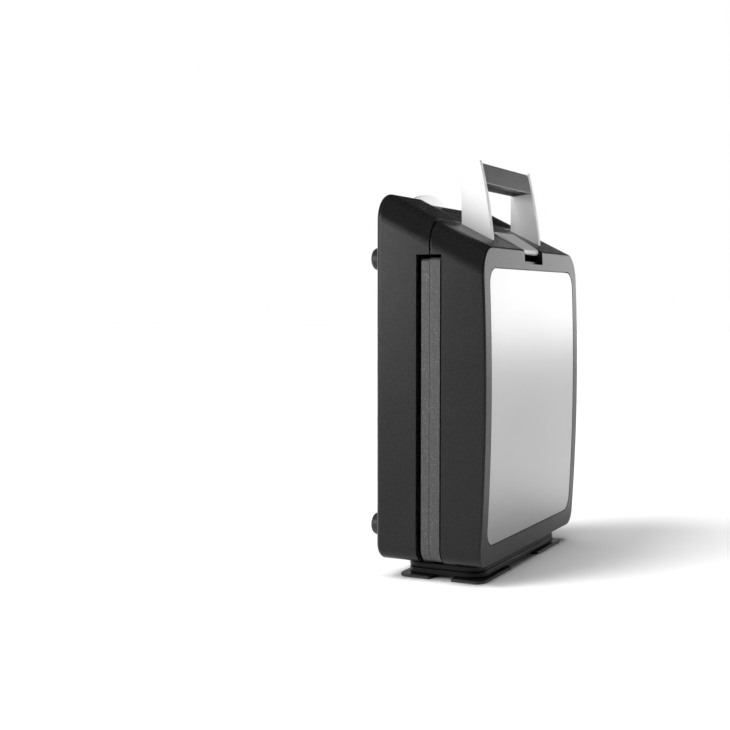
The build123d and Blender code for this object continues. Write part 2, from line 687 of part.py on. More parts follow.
def make_gland():
    """The strain relief inside the wrap: a collar under the base's floor and a tapering sleeve."""
    z = WIND_TOP - FLEX_WIDTH / 2
    tip = Vector(GLAND_END_X, CORE_BACK_Y - 2.4, z)
    root = Vector(GLAND_END_X + GLAND_LENGTH, CORE_BACK_Y - 6.7, z)
    start = Plane(origin=root, z_dir=tip - root)
    sleeve = loft([start * Circle(3.9), start * Pos(0, 0, (tip - root).length) * Circle(2.3)])
    collar = start * Pos(0, 0, -2) * Cylinder(4.2, 6)
    post = block(root.X - 1, root.X + 4, root.Y - 3, root.Y + 2, z + 2, BODY_BOTTOM - 2.3)
    return sleeve + collar + post


# ---------------------------------------------------------------- handle


HANDLE_FOOT = (-32.4, -3.5)
HANDLE_TOP = (-20.6, 361.8)
HANDLE_SCREWS = [(y, top_z(y)) for y in (-27.0, -9.0)]


def make_handle_plate(side):
    """One side plate: its foot on the sloping top, its front gently bowed, leaning back as it rises."""
    foot_front, foot_back = HANDLE_FOOT
    toe = (0, foot_front, top_z(foot_front))
    heel = (0, foot_back, top_z(foot_back))
    peak = (0, *HANDLE_TOP)
    front = ThreePointArc(toe, (0, -27.1, 331.0), peak)
    upper = Line(peak, (0, -6.4, 357.2))
    corner = ThreePointArc((0, -6.4, 357.2), (0, -4.3, 355.8), (0, foot_back, 353.6))
    rest = Polyline((0, foot_back, 353.6), heel, toe)
    x = -HANDLE_OUTER if side < 0 else HANDLE_OUTER - HANDLE_THICK
    plate = Pos(x, 0, 0) * extrude(make_face([front, upper, corner, rest]), amount=HANDLE_THICK, dir=(1, 0, 0))
    top = [e for e in plate.edges() if abs((e % 0.5).X) < 0.2 and e.center().Z > 310]
    plate = chamfer(top, 0.5)
    for y, z in HANDLE_SCREWS:
        plate -= Pos(side * (HANDLE_OUTER - HANDLE_THICK / 2), y, z + 2) * Cylinder(1.35, 12)
    return plate


def make_grip():
    """The crossbar between the plates: a hollow moulding, open below, with one long rib."""
    half = HANDLE_OUTER - HANDLE_THICK - 0.1
    bar = side_profile([(-24.2, 342.2), (-20.2, 361.0), (-8.0, 357.0), (-4.4, 352.2), (-4.8, 340.0)], -half, half)
    lengthwise = [e for e in bar.edges() if abs((e % 0.5).X) > 0.9]
    bar = fillet([e for e in lengthwise if e.center().Z > 347], 2.2)
    lengthwise = [e for e in bar.edges() if abs((e % 0.5).X) > 0.9]
    bar = fillet([e for e in lengthwise if e.center().Z < 345], 0.8)
    hollow = [(-21.6, 336), (-21.4, 343.2), (-18.2, 357.4), (-9.4, 354.6), (-6.9, 350.6), (-7.2, 336)]
    bar -= side_profile(hollow, -half + GRIP_WALL, half - GRIP_WALL)
    bar += block(-half + 1, half - 1, -15.2, -13.4, 342.6, 357.8)
    bump = rod_x(-9, 9, -13.5, 358.6, 1.5)
    return (bar + fillet(bump.edges(), 0.9)).solids().sort_by(SortBy.VOLUME)[-1]


def make_handle_screws():
    """Screws from inside the lid up into the handle plates."""
    screws = []
    for side in (-1, 1):
        middle = side * (HANDLE_OUTER - HANDLE_THICK / 2)
        for y, z in HANDLE_SCREWS:
            shank = Pos(middle, y, z + 1.2) * Cylinder(1.3, 11.2)
            head = Pos(middle, y, z - 5.3) * Cylinder(3.0, 1.8)
            screws.append(shank + head)
    return screws


# ---------------------------------------------------------------- latch


def make_lever():
    """A pressed strip on a cross pin, rolled at its front end, with a hook behind the pin."""
    tip, bend, end = (-42.8, 287.3), (-20.0, 301.6), (-18.2, 302.0)
    length = math.hypot(bend[0] - tip[0], bend[1] - tip[1])
    down = ((bend[1] - tip[1]) / length, -(bend[0] - tip[0]) / length)
    under = [(y + down[0] * LEVER_THICK, z + down[1] * LEVER_THICK) for y, z in (bend, tip)]
    strip = side_profile([tip, bend, end, (end[0], end[1] - 1.9), *under], -LEVER_HALF, LEVER_HALF)
    roll_y, roll_z = tip[0] + down[0] * ROLL_R, tip[1] + down[1] * ROLL_R
    lever = strip + rod_x(-LEVER_HALF, LEVER_HALF, roll_y, roll_z, ROLL_R)
    lever -= rod_x(-LEVER_HALF - 1, LEVER_HALF + 1, roll_y, roll_z, ROLL_R - LEVER_THICK + 0.2)
    for x0 in (-17.0, 15.4):
        lever += rod_x(x0, x0 + 1.6, LATCH_Y, LATCH_Z, 3.2)
        lever += block(x0, x0 + 1.6, LATCH_Y - 3, LATCH_Y + 1.6, LATCH_Z, 298.6)
    hook = [
        (LATCH_Y - 1.6, 299.4),
        (LATCH_Y + 1.6, 301.2),
        (LATCH_Y + 2.0, HOOK_LOW + 4.6),
        (-3.0, HOOK_LOW + 3.0),
        (SEAM_Y - 2.4, HOOK_LOW + 4.4),
        (SEAM_Y - 0.9, HOOK_LOW + 3.4),
        (SEAM_Y - 0.9, HOOK_LOW),
        (LATCH_Y - 1.6, HOOK_LOW),
    ]
    lever += side_profile(hook, -HOOK_HALF, HOOK_HALF)
    lever -= rod_x(-LEVER_HALF - 2, LEVER_HALF + 2, LATCH_Y, LATCH_Z, LATCH_PIN_R + RUNNING_FIT)
    return lever.solids().sort_by(SortBy.VOLUME)[-1]


def make_latch_pin():
    half = NOTCH_HALF + 1.8
    return rod_x(-half, half, LATCH_Y, LATCH_Z, LATCH_PIN_R)


def make_latch_spring():
    """A light coil round the pin that presses the lever shut."""
    turns = 4
    pitch = 0.9
    radius = LATCH_PIN_R + 0.75
    coil = Helix(pitch=pitch, height=turns * pitch, radius=radius)
    wire = sweep(Plane(origin=coil @ 0, z_dir=coil % 0) * Circle(0.35), path=coil, is_frenet=True)
    return Pos(10.2, LATCH_Y, LATCH_Z) * Rot(0, 90, 0) * wire


def make_catch():
    """The steel keeper behind the seam that the hook faces."""
    plate = block(-CATCH_HALF, CATCH_HALF, SEAM_Y, SEAM_Y + 1.6, CATCH_BOTTOM, CATCH_TOP)
    return plate - block(-9, 9, SEAM_Y - 1, SEAM_Y + 3, HOOK_LOW + 1.4, CATCH_TOP - 2)


# ---------------------------------------------------------------- base cover, feet, small parts


def make_cover():
    low, high = COVER_BOTTOM + 0.25, COVER_TOP - 0.25
    cover = plan_rect(COVER_HALF - 0.25, low, high, 11.8, BACK_Y - COVER_THICK, BACK_Y)
    cover = chamfer(cover.faces().sort_by(Axis.Y)[-1].edges(), 0.5)
    for row in range(9):
        for x in (-38, 38):
            slot = Pos(x, BACK_Y - 1, 110 + row * 15) * Rot(90, 0, 0) * SlotOverall(52, 4)
            cover -= extrude(slot, 6, both=True)
    for x, z in COVER_SCREWS:
        cover -= rod_y(x, BACK_Y - 4, BACK_Y + 1, z, SCREW_R + 0.1)
        cover -= rod_y(x, BACK_Y - 1.2, BACK_Y + 1, z, 3.9)
    return cover


def make_cover_screws():
    """Pan-head screws with a cross recess."""
    screws = []
    for x, z in COVER_SCREWS:
        screw = rod_y(x, BACK_Y - 1.2, BACK_Y + 0.6, z, 3.6) + rod_y(x, BACK_Y - 10, BACK_Y - 1.2, z, 1.5)
        screw -= block(x - 2.2, x + 2.2, BACK_Y - 0.6, BACK_Y + 1, z - 0.45, z + 0.45)
        screw -= block(x - 0.45, x + 0.45, BACK_Y - 0.6, BACK_Y + 1, z - 2.2, z + 2.2)
        screws.append(screw)
    return screws


def make_feet():
    """Four domed rubber feet, each with a recess for its screw."""
    feet = []
    for x, z in FOOT_PLACES:
        foot = rod_y(x, BACK_Y, FOOT_BACK_Y, z, FOOT_R)
        foot = fillet(foot.faces().sort_by(Axis.Y)[-1].edges(), 4.2)
        foot -= rod_y(x, BACK_Y + 3, FOOT_BACK_Y + 1, z, 3.2)
        feet.append(foot - rod_y(x, BACK_Y - 2, FOOT_BACK_Y, z, 1.8))
    return feet


def make_foot_screws():
    screws = []
    for x, z in FOOT_PLACES:
        screws.append(rod_y(x, BACK_Y + 3, BACK_Y + 5, z, 3.0) + rod_y(x, BACK_Y - 7, BACK_Y + 3, z, 1.65))
    return screws


def make_lift_lip():
    """A small bright lip that stands a few millimetres above the base's rear top edge."""
    edge_z = top_z(BACK_Y) - SCOOP_DEPTH
    disc = rod_y(LIP_X, BACK_Y, BACK_Y + 2.0, edge_z + 8.0 - LIP_ARC_R, LIP_ARC_R)
    return disc & block(LIP_X - LIP_HALF, LIP_X + LIP_HALF, BACK_Y, BACK_Y + 2.0, edge_z - 16, edge_z + 10)


def make_thermostat():
    """A round capillary-free thermostat on a bracket, with its two blades."""
    y = SHIELD_DEPTH - 0.2
    can = rod_y(0, y, y + 9, 95, 12)
    cap = rod_y(0, y + 9, y + 12, 95, 8)
    blades = block(-9, -5, y + 9, y + 16, 92, 98) + block(5, 9, y + 9, y + 16, 92, 98)
    return can + cap + blades


def make_fuse(side, z):
    """A thermal cut-out in a fibre sleeve, clipped to the shield."""
    y = side * (SHIELD_DEPTH + 2.8)
    return rod_x(-16, 16, y, z, 3.0) + rod_x(-22, 22, y, z, 0.8)


def make_terminal_block():
    """A three-way screw terminal strip."""
    body = block(30, 66, SHIELD_DEPTH + 1, SHIELD_DEPTH + 14, 52, 66)
    for x in (36, 48, 60):
        body -= rod_y(x, SHIELD_DEPTH + 9, SHIELD_DEPTH + 15, 59, 2.6)
        body -= Pos(x, SHIELD_DEPTH + 6, 59) * Cylinder(1.9, 20)
    return body


def make_wiring(side):
    """Heat-proof wires that join the element's ends to the terminals."""
    y = side * (SHIELD_DEPTH + 8)
    end_y = side * (PAN_DEPTH + HEATER_R + 0.1)
    wires = []
    for x in (-92, 92):
        shift = x / 92
        run = [
            (x, end_y, HEATER_TOP + 14.8),
            (x + 3 * shift, end_y + side * 2, HEATER_TOP + 23),
            (x + 1 * shift, y, HEATER_TOP + 25),
            (x - 22 * shift, y + side, HEATER_TOP + 18),
            (x - 44 * shift, y, HEATER_TOP - 6),
            (26 * shift, y, 178),
            (23.4 * shift, side * (SHIELD_DEPTH + 2.8), 136),
        ]
        path = FilletPolyline(*run, radius=corner_radii(run))
        start = Plane(origin=run[0], z_dir=(path % 0))
        wires.append(sweep(start * Circle(1.3), path=path))
    return wires


def make_lamp_board():
    """The small board and lamp behind the indicator window."""
    z = top_z(LENS_Y) - 22
    board = block(-50, -18, 38.2, 39.8, z - 8, z + 8)
    lamp = rod_y(-34, 39.8, 44.5, z + 2, 3.0)
    return board + lamp


def make_cord_clamp():
    """The saddle inside the base that grips the flex."""
    saddle = block(-78, -52, 30, 38, 30, 40) - rod_x(-80, -50, 34, 35, 3.2)
    return saddle


# ---------------------------------------------------------------- all the nodes

put("base_shell", make_base_shell())
put("base_cover", make_cover())
put("base_cover_screws", *make_cover_screws())
put("base_feet", *make_feet())
put("base_foot_screws", *make_foot_screws())
put("base_plate", *make_plate(BASE_PLATE_TOP, BASE_PLATE_FACE, BASE_PLATE_EDGE, 1))
put("base_heater", make_heater(1))
put("base_heater_ends", *make_heater_ends(1))
put("base_heat_shield", make_shield(1))
put("base_plate_screws", *make_plate_screws(1))
put("base_thermostat", make_thermostat())
put("base_thermal_fuse", make_fuse(1, 133))
put("base_terminal_block", make_terminal_block())
put("base_wiring", *make_wiring(1))
put("base_lamp_board", make_lamp_board())
put("base_indicator_lens", make_lens())
put("base_cord_clamp", make_cord_clamp())
put("base_latch_catch", make_catch())
put("base_lift_lip", make_lift_lip())
put("base_wrap", make_base_wrap())
put("base_wrap_screws", *make_wrap_screws(BASE_WRAP_SCREWS))
put("hinge_pins", *make_hinge_pins())
put("hinge_sleeve", make_hinge_sleeve())
put("cord_gland", make_gland())
put("cord_winding", make_winding())
put("cord_tail", make_tail())
put("plug_body", make_plug())
put("plug_pins", *make_plug_pins())

put("lid_shell", make_lid_shell())
put("lid_latch_well", make_latch_well())
put("lid_panel", make_panel())
put("lid_plate", *make_plate(LID_PLATE_TOP, -LID_PLATE_FACE, LID_PLATE_EDGE, -1))
put("lid_heater", make_heater(-1))
put("lid_heater_ends", *make_heater_ends(-1))
put("lid_heat_shield", make_shield(-1))
put("lid_plate_screws", *make_plate_screws(-1))
put("lid_thermal_fuse", make_fuse(-1, 133))
put("lid_wiring", *make_wiring(-1))
put("lid_wrap", make_lid_wrap())
put("lid_wrap_screws", *make_wrap_screws(LID_WRAP_SCREWS))
put("handle_plate_left", make_handle_plate(-1))
put("handle_plate_right", make_handle_plate(1))
put("handle_grip", make_grip())
put("handle_screws", *make_handle_screws())
put("latch_lever", make_lever())
put("latch_pin", make_latch_pin())
put("latch_spring", make_latch_spring())

os.makedirs("parts", exist_ok=True)
for node, shape in parts.items():
    export_step(shape, os.path.join("parts", node + ".step"))
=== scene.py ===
import json
import math

import bpy
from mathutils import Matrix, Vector


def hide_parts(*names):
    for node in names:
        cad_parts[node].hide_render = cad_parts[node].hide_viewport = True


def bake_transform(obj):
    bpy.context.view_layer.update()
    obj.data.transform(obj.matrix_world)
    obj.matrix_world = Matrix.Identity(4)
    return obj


# A closed double waffle maker that stands on its cord wrap.  Metres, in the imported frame:
# +Z up, the lid faces -Y, and the waffle plates meet in the plane y = PARTING_Y.

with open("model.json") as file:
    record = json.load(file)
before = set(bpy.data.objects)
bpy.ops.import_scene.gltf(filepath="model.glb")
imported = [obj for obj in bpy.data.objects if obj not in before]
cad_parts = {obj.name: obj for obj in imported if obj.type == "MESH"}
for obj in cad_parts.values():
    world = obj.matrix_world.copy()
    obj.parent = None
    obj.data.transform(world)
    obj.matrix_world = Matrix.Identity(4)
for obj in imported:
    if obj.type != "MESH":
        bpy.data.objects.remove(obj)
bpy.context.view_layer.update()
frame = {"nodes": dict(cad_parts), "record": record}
node = frame["nodes"]

PARTING_Y = -0.0045


# ---------------------------------------------------------------- camera

CAMERA_PLACE = (-1.0598, -0.4231, 0.2387)
CAMERA_TILT = 87.06  # degrees
CAMERA_TURN = -62.88
CAMERA_LENS = 60.26  # millimetres, on a sensor 36 wide


def make_camera():
    data = bpy.data.cameras.new("camera")
    data.lens = CAMERA_LENS
    data.sensor_width = 36.0
    data.clip_start, data.clip_end = 0.02, 60.0
    camera = bpy.data.objects.new("camera", data)
    camera.location = CAMERA_PLACE
    camera.rotation_euler = (math.radians(CAMERA_TILT), 0.0, math.radians(CAMERA_TURN))
    bpy.context.scene.collection.objects.link(camera)
    bpy.context.scene.camera = camera


make_camera()


# ---------------------------------------------------------------- material building blocks


class Shader:
    """One procedural material, with short calls for the nodes that its look is built from."""

    def __init__(self, name, metallic=0.0, specular=0.5, coat=0.0, coat_roughness=0.1):
        self.material = bpy.data.materials.new(name)
        self.material.use_nodes = True
        self.nodes = self.material.node_tree.nodes
        self.links = self.material.node_tree.links
        self.bsdf = self.nodes["Principled BSDF"]
        self.bsdf.inputs["Metallic"].default_value = metallic
        self.bsdf.inputs["Specular IOR Level"].default_value = specular
        self.bsdf.inputs["Coat Weight"].default_value = coat
        self.bsdf.inputs["Coat Roughness"].default_value = coat_roughness
        self.coords = self.nodes.new("ShaderNodeTexCoord").outputs["Object"]

    def stretched(self, x, y, z):
        """The object's own coordinates, scaled unevenly."""
        mapping = self.nodes.new("ShaderNodeMapping")
        mapping.inputs["Scale"].default_value = (x, y, z)
        self.links.new(self.coords, mapping.inputs["Vector"])
        return mapping.outputs["Vector"]

    def noise(self, scale, detail=3.0, roughness=0.5, vector=None):
        texture = self.nodes.new("ShaderNodeTexNoise")
        texture.inputs["Scale"].default_value = scale
        texture.inputs["Detail"].default_value = detail
        texture.inputs["Roughness"].default_value = roughness
        self.links.new(vector or self.coords, texture.inputs["Vector"])
        return texture.outputs["Fac"]

    def cells(self, scale):
        """Distance from the middle of randomly placed cells."""
        texture = self.nodes.new("ShaderNodeTexVoronoi")
        texture.inputs["Scale"].default_value = scale
        self.links.new(self.coords, texture.inputs["Vector"])
        return texture.outputs["Distance"]

    def waves(self, scale, direction, vector=None):
        texture = self.nodes.new("ShaderNodeTexWave")
        texture.bands_direction = direction
        texture.inputs["Scale"].default_value = scale
        self.links.new(vector or self.coords, texture.inputs["Vector"])
        return texture.outputs["Fac"]

    def ramp(self, factor, *stops):
        """A colour ramp; each stop is a place and a grey or an (r, g, b) colour."""
        band = self.nodes.new("ShaderNodeValToRGB")
        elements = band.color_ramp.elements
        while len(elements) < len(stops):
            elements.new(0.5)
        for element, (place, colour) in zip(elements, stops):
            element.position = place
            rgb = colour if isinstance(colour, tuple) else (colour,) * 3
            element.color = (*rgb, 1.0)
        self.links.new(factor, band.inputs["Fac"])
        return band.outputs["Color"]

    def blend(self, factor, first, second, mode="MIX"):
        mix = self.nodes.new("ShaderNodeMix")
        mix.data_type = "RGBA"
        mix.blend_type = mode
        for value, socket in ((factor, "Factor_Float"), (first, "A_Color"), (second, "B_Color")):
            target = next(i for i in mix.inputs if i.identifier == socket)
            if isinstance(value, bpy.types.NodeSocket):
                self.links.new(value, target)
            else:
                target.default_value = value
        return next(o for o in mix.outputs if o.identifier == "Result_Color")

    def colour(self, socket):
        self.links.new(socket, self.bsdf.inputs["Base Color"])

    def roughness(self, socket):
        self.links.new(socket, self.bsdf.inputs["Roughness"])

    def bump(self, *layers):
        """Layers of (height, strength, distance in metres), from coarse to fine."""
        normal = None
        for height, strength, distance in layers:
            bump = self.nodes.new("ShaderNodeBump")
            bump.inputs["Strength"].default_value = strength
            bump.inputs["Distance"].default_value = distance
            self.links.new(height, bump.inputs["Height"])
            if normal:
                self.links.new(normal, bump.inputs["Normal"])
            normal = bump.outputs["Normal"]
        self.links.new(normal, self.bsdf.inputs["Normal"])


# ---------------------------------------------------------------- materials


def housing_plastic():
    """Near-black moulded plastic with a fine spark-eroded grain."""
    s = Shader("housing_plastic", specular=0.2)
    grain = s.noise(1500, detail=2.0, roughness=0.6)
    cloud = s.noise(22, detail=4.0)
    tone = s.ramp(cloud, (0.3, 0.006), (0.7, 0.009))
    s.colour(s.blend(0.35, tone, s.ramp(grain, (0.35, 0.004), (0.65, 0.016))))
    s.roughness(s.ramp(grain, (0.3, 0.20), (0.7, 0.32)))
    s.bump((cloud, 0.05, 0.0004), (grain, 0.55, 0.00012))
    return s.material


def smooth_plastic(name, dark, light, low=0.32, high=0.48):
    """A plain moulded plastic: faint flow marks, a light satin grain."""
    s = Shader(name, specular=0.45)
    flow = s.noise(35, detail=5.0)
    grain = s.noise(700, detail=2.0)
    s.colour(s.ramp(flow, (0.3, dark), (0.7, light)))
    s.roughness(s.ramp(grain, (0.3, low), (0.7, high)))
    s.bump((flow, 0.08, 0.0004), (grain, 0.25, 0.00008))
    return s.material


def brushed_metal(name, dark, light, low, high, along="X", metallic=1.0):
    """Satin metal with a fine grain along one axis; low and high are its roughness."""
    s = Shader(name, metallic=metallic)
    scale = {"X": (3, 260, 260), "Y": (260, 3, 260), "Z": (260, 260, 3)}[along]
    vector = s.stretched(*scale)
    streaks = s.noise(12, detail=3.0, roughness=0.7, vector=vector)
    haze = s.noise(9, detail=3.0)
    clouded = s.ramp(haze, (0.3, dark), (0.7, light))
    lined = s.ramp(streaks, (0.3, dark), (0.7, light))
    s.colour(s.blend(0.25, clouded, lined))
    s.roughness(s.ramp(streaks, (0.25, low), (0.75, high)))
    s.bump((streaks, 0.35, 0.00003))
    return s.material


def granite_coating():
    """Non-stick coating on the waffle plates: dark grey with pale and black flecks."""
    s = Shader("granite_coating", specular=0.35)
    fine = s.noise(1500, detail=4.0, roughness=0.85)
    flecks = s.cells(950)
    pits = s.noise(520, detail=1.0)
    ground = s.ramp(fine, (0.30, 0.010), (0.50, 0.038), (0.72, 0.120))
    pale = s.ramp(flecks, (0.16, 1.0), (0.30, 0.0))
    some = s.ramp(s.noise(600, detail=1.0), (0.50, 0.0), (0.58, 1.0))
    mask = s.blend(1.0, pale, some, mode="MULTIPLY")
    s.colour(s.blend(mask, ground, (0.24, 0.24, 0.24, 1.0)))
    s.roughness(s.ramp(pits, (0.3, 0.30), (0.7, 0.50)))
    s.bump((pits, 0.25, 0.0002), (fine, 0.25, 0.0001))
    return s.material


def coiled_flex():
    """Soft black sheath with a slight matte bloom."""
    s = Shader("flex_sheath", specular=0.15)
    bloom = s.noise(60, detail=4.0)
    skin = s.noise(900, detail=2.0)
    s.colour(s.ramp(bloom, (0.3, 0.004), (0.7, 0.008)))
    s.roughness(s.ramp(bloom, (0.3, 0.34), (0.7, 0.50)))
    s.bump((skin, 0.2, 0.0001))
    return s.material


def rubber(name, dark, light):
    s = Shader(name, specular=0.3)
    dust = s.noise(150, detail=5.0)
    s.colour(s.ramp(dust, (0.35, dark), (0.75, light)))
    s.roughness(s.ramp(dust, (0.3, 0.30), (0.7, 0.46)))
    s.bump((dust, 0.15, 0.0002))
    return s.material


def woven_sleeve():
    """Fibreglass sleeve: two crossing sets of fine ribs."""
    s = Shader("woven_sleeve", specular=0.3)
    one = s.waves(420, "DIAGONAL")
    two = s.waves(420, "DIAGONAL", vector=s.stretched(-1, 1, 1))
    weave = s.blend(0.5, one, two)
    s.colour(s.ramp(weave, (0.2, (0.52, 0.49, 0.42)), (0.8, (0.80, 0.77, 0.69))))
    s.roughness(s.ramp(weave, (0.2, 0.7), (0.8, 0.85)))
    s.bump((weave, 0.5, 0.0003))
    return s.material


def circuit_board():
    s = Shader("circuit_board", specular=0.5, coat=0.3)
    tracks = s.cells(240)
    s.colour(s.ramp(tracks, (0.2, (0.03, 0.14, 0.06)), (0.6, (0.06, 0.24, 0.11))))
    s.roughness(s.ramp(tracks, (0.2, 0.25), (0.6, 0.4)))
    s.bump((tracks, 0.2, 0.0001))
    return s.material


def indicator_lens():
    """Milky light window with a faint inner texture."""
    s = Shader("indicator_lens", specular=0.6, coat=0.5)
    inner = s.noise(420, detail=2.0)
    s.colour(s.ramp(inner, (0.3, 0.38), (0.7, 0.52)))
    s.roughness(s.ramp(inner, (0.3, 0.18), (0.7, 0.28)))
    s.bump((inner, 0.1, 0.0001))
    return s.material


# Darker and lighter tone of each material that isn't a neutral grey.
STEEL_DARK, STEEL_LIGHT = (0.26, 0.23, 0.20), (0.40, 0.37, 0.33)
CERAMIC_DARK, CERAMIC_LIGHT = (0.72, 0.69, 0.60), (0.84, 0.81, 0.74)
ZINC_DARK, ZINC_LIGHT = (0.46, 0.47, 0.50), (0.62, 0.63, 0.66)
PIN_DARK, PIN_LIGHT = (0.72, 0.71, 0.68), (0.84, 0.83, 0.80)
SILICONE_DARK, SILICONE_LIGHT = (0.60, 0.57, 0.50), (0.72, 0.70, 0.63)
TERMINAL_DARK, TERMINAL_LIGHT = (0.66, 0.65, 0.58), (0.76, 0.75, 0.69)

MATERIALS = {
    "housing": housing_plastic(),
    "front_panel": brushed_metal("panel_metal", 0.335, 0.365, 0.22, 0.28, along="X"),
    "handle_metal": brushed_metal("handle_metal", 0.73, 0.78, 0.55, 0.65, along="Z", metallic=0.3),
    "grip_plastic": smooth_plastic("grip_plastic", 0.095, 0.115, 0.26, 0.36),
    "latch_steel": brushed_metal("latch_steel", 0.60, 0.68, 0.44, 0.54, along="X", metallic=0.4),
    "plate_coating": granite_coating(),
    "heater_steel": brushed_metal("heater_steel", STEEL_DARK, STEEL_LIGHT, 0.4, 0.6, along="Z"),
    "ceramic": smooth_plastic("ceramic", CERAMIC_DARK, CERAMIC_LIGHT, 0.2, 0.35),
    "shield_sheet": brushed_metal("shield_sheet", 0.56, 0.68, 0.35, 0.5, along="X"),
    "zinc_steel": brushed_metal("zinc_steel", ZINC_DARK, ZINC_LIGHT, 0.3, 0.45, along="Z"),
    "spring_steel": brushed_metal("spring_steel", 0.30, 0.40, 0.25, 0.4, along="Y"),
    "foot_rubber": rubber("foot_rubber", 0.012, 0.028),
    "wrap_plastic": smooth_plastic("wrap_plastic", 0.018, 0.028, 0.36, 0.52),
    "flex_sheath": coiled_flex(),
    "plug_moulding": smooth_plastic("plug_moulding", 0.014, 0.024, 0.28, 0.42),
    "pin_metal": brushed_metal("pin_metal", PIN_DARK, PIN_LIGHT, 0.12, 0.22, along="Y"),
    "lens_plastic": indicator_lens(),
    "wire_silicone": rubber("wire_silicone", SILICONE_DARK, SILICONE_LIGHT),
    "fibre_sleeve": woven_sleeve(),
    "terminal_plastic": smooth_plastic("terminal_plastic", TERMINAL_DARK, TERMINAL_LIGHT),
    "circuit_board": circuit_board(),
    "trim_metal": brushed_metal("trim_metal", 0.86, 0.93, 0.45, 0.55, along="X"),
}

for part in frame["record"]["subparts"]:
    mesh = node[part["node"]].data
    mesh.materials.clear()
    mesh.materials.append(MATERIALS[part["material_slot"]])


# ---------------------------------------------------------------- mains flex

# The flex is a pair of round cores, wound on edge so that one core lies above the other.
# Each Y here is measured from PARTING_Y.
FLEX_WIDTH = 0.0052
CORE_RADIUS = FLEX_WIDTH / 4 + 0.00002  # the two cores overlap slightly
CORE_PAST = 0.32  # radians that each core's half round runs past the flex's middle
CORE_STEPS = 14
UPPER_Z = 0.0108
LOWER_Z = 0.0056
TURN_X = 0.0996
TURN_FRONT = -0.0366
TURN_BACK = 0.0326
TURN_RADIUS = 0.0146
TURN_DROP = 0.0010  # how far the first turn has sunk at its third corner
TURN_LIFT = 0.0004  # how far it is still above the second turn at its fourth
FLEX_START = (-0.006, 0.0318, UPPER_Z)
FLEX_TAIL = [
    (0.1038, -0.0220, 0.0057),
    (0.1041, -0.0115, 0.0056),
    (0.1074, -0.0010, 0.0050),
    (0.1138, 0.0080, 0.0039),
    (0.1188, 0.0175, 0.0029),
    (0.1204, 0.0280, 0.0026),
    (0.1204, 0.0380, 0.0026),
]


def corner(x, y, arrival, z0, z1):
    """Four control points that round one corner of a turn; arrival is the way it runs in."""
    ease = TURN_RADIUS * math.tan(math.pi / 8)
    along = Vector(arrival)
    out = Vector((-along.y, along.x))
    points = [
        Vector((x, y)) - along * (TURN_RADIUS + ease),
        Vector((x, y)) - along * (TURN_RADIUS - ease),
        Vector((x, y)) + out * (TURN_RADIUS - ease),
        Vector((x, y)) + out * (TURN_RADIUS + ease),
    ]
    return [(p.x, p.y, z0 + (z1 - z0) * i / 3) for i, p in enumerate(points)]


def flex_route():
    """Two turns round the wrap, the first above the second, and then the tail to the plug."""
    route = [FLEX_START, (-0.030, TURN_BACK, UPPER_Z)]
    for z in (UPPER_Z, LOWER_Z):
        route += corner(-TURN_X, TURN_BACK, (-1, 0), z, z)
        route += corner(-TURN_X, TURN_FRONT, (0, -1), z, z)
        if z == UPPER_Z:
            route += corner(TURN_X, TURN_FRONT, (1, 0), UPPER_Z, UPPER_Z - TURN_DROP)
            route += corner(TURN_X, TURN_BACK, (0, 1), LOWER_Z + TURN_LIFT, LOWER_Z)
    route += [(0.0790, TURN_FRONT, LOWER_Z), (0.0940, -0.0362, LOWER_Z), (0.1024, -0.0300, LOWER_Z)]
    return [(x, y + PARTING_Y, z) for x, y, z in route + FLEX_TAIL]


def spline_points(route):
    """The smooth line of a NURBS curve that has the route's points as its control points."""
    curve = bpy.data.curves.new("flex_line", "CURVE")
    curve.dimensions = "3D"
    curve.resolution_u = 8
    spline = curve.splines.new("NURBS")
    spline.points.add(len(route) - 1)
    for point, place in zip(spline.points, route):
        point.co = (*place, 1.0)
    spline.order_u = 3
    spline.use_endpoint_u = True
    holder = bpy.data.objects.new("flex_line", curve)
    mesh = bpy.data.meshes.new_from_object(holder)
    points = [vertex.co.copy() for vertex in mesh.vertices]
    bpy.data.objects.remove(holder)
    bpy.data.meshes.remove(mesh)
    return points


def twin_section():
    """Outline of two round cores, one above the other, as (across, up) offsets."""
    outline = []
    sweep = math.pi + 2 * CORE_PAST
    for up, first in ((1, -CORE_PAST), (-1, math.pi - CORE_PAST)):
        for i in range(CORE_STEPS + 1):
            angle = first + sweep * i / CORE_STEPS
            outline.append((CORE_RADIUS * math.cos(angle), CORE_RADIUS * (up + math.sin(angle))))
    return outline


def sweep_section(line, outline):
    """Vertices and faces of an outline carried along a line, with a face at each end."""
    vertices, faces = [], []
    count = len(outline)
    for i, point in enumerate(line):
        ahead = line[min(i + 1, len(line) - 1)] - line[max(i - 1, 0)]
        across = Vector((ahead.y, -ahead.x, 0)).normalized()
        up = across.cross(ahead).normalized()
        if up.z < 0:
            up = -up
        vertices += [point + across * a + up * b for a, b in outline]
        if i:
            last = (i - 1) * count
            for j in range(count):
                k = (j + 1) % count
                faces.append((last + j, last + k, last + count + k, last + count + j))
    faces.append(tuple(range(count))[::-1])
    faces.append(tuple(range(len(vertices) - count, len(vertices))))
    return vertices, faces


def make_flex():
    """The wound flex: a twin-core section swept on edge along its route."""
    line = spline_points(flex_route())
    vertices, faces = sweep_section(line, twin_section())
    mesh = bpy.data.meshes.new("mains_flex")
    mesh.from_pydata(vertices, [], faces)
    mesh.validate()
    for polygon in mesh.polygons:
        polygon.use_smooth = len(polygon.vertices) == 4
    mesh.materials.append(MATERIALS["flex_sheath"])
    flex = bpy.data.objects.new("mains_flex", mesh)
    bpy.context.scene.collection.objects.link(flex)
    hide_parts("cord_winding", "cord_tail")
    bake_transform(flex)


make_flex()


# ---------------------------------------------------------------- shading of the CAD nodes

